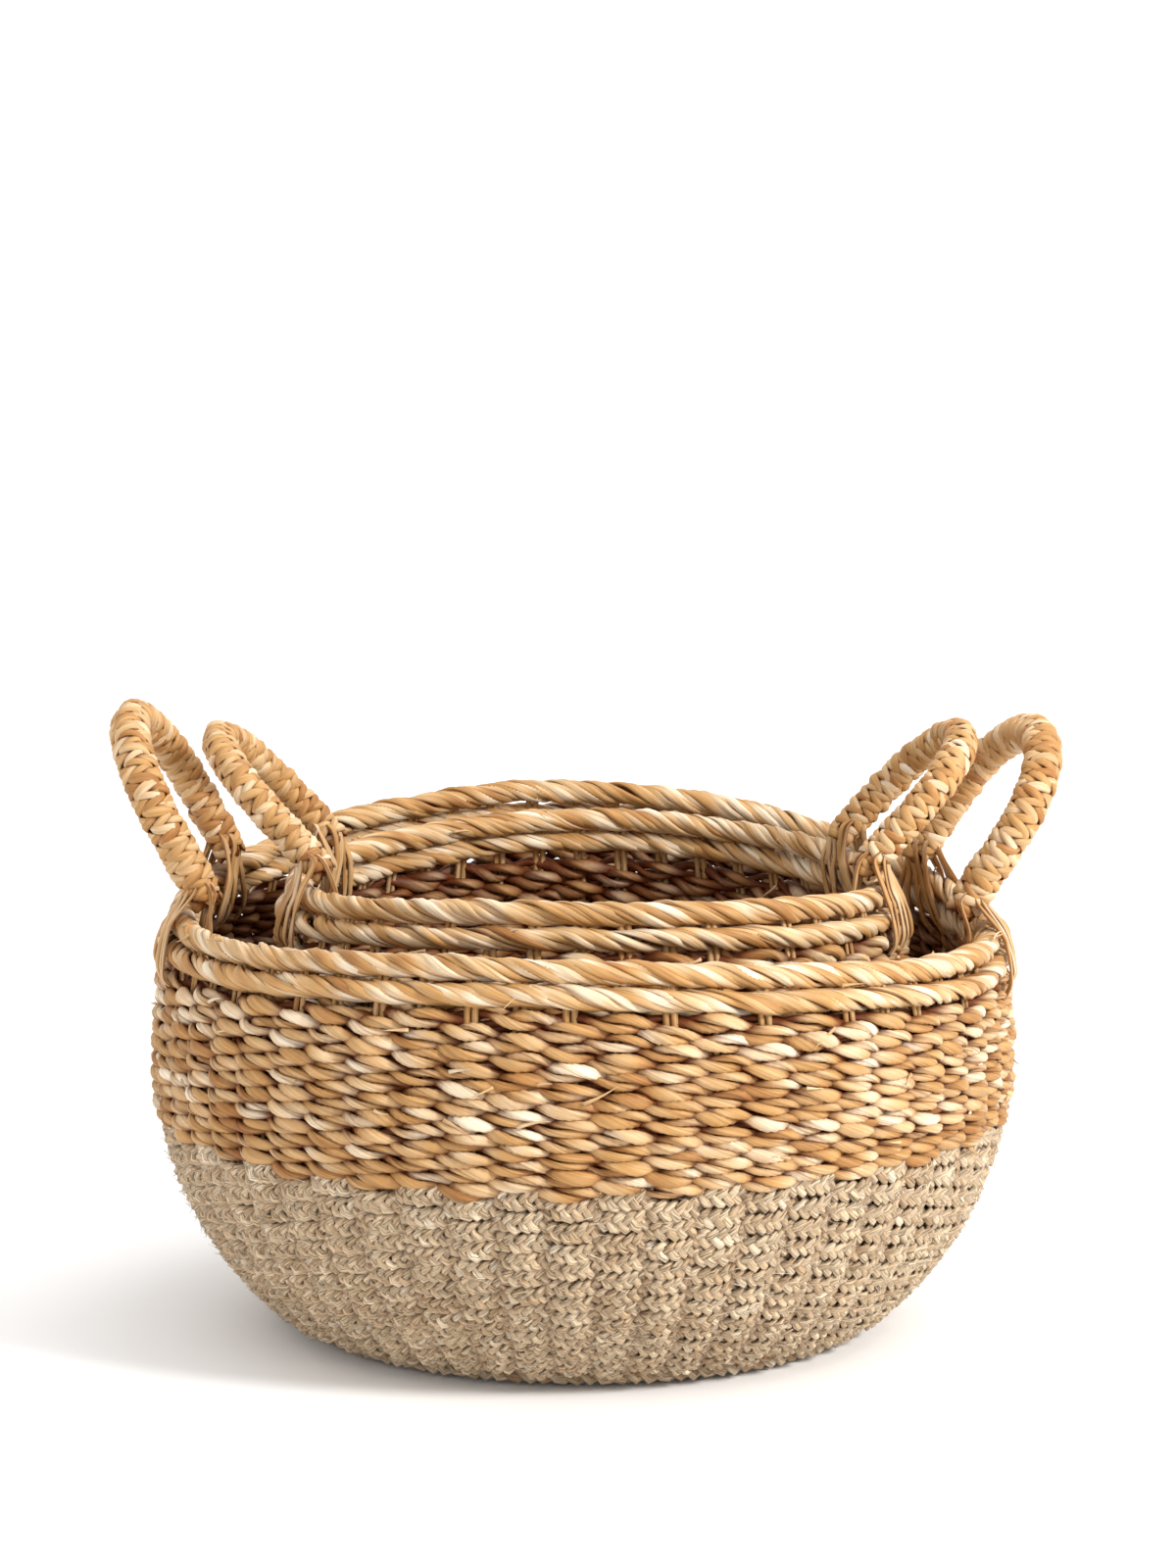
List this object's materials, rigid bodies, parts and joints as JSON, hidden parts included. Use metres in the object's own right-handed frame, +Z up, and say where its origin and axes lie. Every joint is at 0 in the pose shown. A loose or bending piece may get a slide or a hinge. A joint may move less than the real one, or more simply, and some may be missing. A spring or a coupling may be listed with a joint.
{
  "type": "storage basket",
  "caption": "Round storage baskets woven from seagrass cord above jute cord, nesting one in the other, with lashed loop handles that lean outward.",
  "frame": {"origin": "centre of the large basket's resting face, on the floor", "axes": "+Z up, +X towards the large basket's right handle, -Y towards the viewer"},
  "size_m": [0.4883, 0.45, 0.3205],
  "materials": {
    "jute_cord": "matt braided jute fibre",
    "seagrass_cord": "satin twisted dry grass",
    "seagrass_rope": "satin twisted dry grass",
    "stake_strips": "dry split strips",
    "cane_core": "bare cane",
    "handle_wrap": "satin plaited dry grass",
    "lashing_strips": "satin flat dry strips"
  },
  "bodies": {
    "large_basket": {"outer_base": "jute_cord", "outer_jute_band": "jute_cord", "outer_seagrass_band": "seagrass_cord", "outer_stakes": "stake_strips", "outer_collar_rope": "seagrass_rope", "outer_rim_rope": "seagrass_rope", "outer_right_front_lashing": "lashing_strips", "outer_right_back_lashing": "lashing_strips", "outer_left_front_lashing": "lashing_strips", "outer_left_back_lashing": "lashing_strips"},
    "small_basket": {"inner_base": "jute_cord", "inner_jute_band": "jute_cord", "inner_seagrass_band": "seagrass_cord", "inner_stakes": "stake_strips", "inner_collar_rope": "seagrass_rope", "inner_rim_rope": "seagrass_rope", "inner_right_front_lashing": "lashing_strips", "inner_right_back_lashing": "lashing_strips", "inner_left_front_lashing": "lashing_strips", "inner_left_back_lashing": "lashing_strips"},
    "large_right_handle": {"outer_right_handle_core": "cane_core", "outer_right_handle_wrap": "handle_wrap"},
    "large_left_handle": {"outer_left_handle_core": "cane_core", "outer_left_handle_wrap": "handle_wrap"},
    "small_right_handle": {"inner_right_handle_core": "cane_core", "inner_right_handle_wrap": "handle_wrap"},
    "small_left_handle": {"inner_left_handle_core": "cane_core", "inner_left_handle_wrap": "handle_wrap"}
  },
  "joints": [
    {"name": "small_basket_lift", "type": "slide", "parent": "large_basket", "child": "small_basket", "axis": [0, 0, 1], "range_m": [0, 0.28]},
    {"name": "large_right_handle_hinge", "type": "hinge", "parent": "large_basket", "child": "large_right_handle", "pos_m": [0.18691, 0.03296, 0.22541], "axis": [-0.1724, 0.9776, 0.121], "range_deg": [-10, 25]},
    {"name": "large_left_handle_hinge", "type": "hinge", "parent": "large_basket", "child": "large_left_handle", "pos_m": [-0.18954, 0.00993, 0.2329], "axis": [-0.0521, -0.9949, -0.0863], "range_deg": [-10, 25]},
    {"name": "small_right_handle_hinge", "type": "hinge", "parent": "small_basket", "child": "small_right_handle", "pos_m": [0.14078, 0.00956, 0.24475], "axis": [-0.0698, 0.9975, 0.0114], "range_deg": [-43, 4]},
    {"name": "small_left_handle_hinge", "type": "hinge", "parent": "small_basket", "child": "small_left_handle", "pos_m": [-0.13309, 0.00239, 0.24472], "axis": [-0.0175, -0.9998, -0.0028], "range_deg": [-43, 4]}
  ]
}
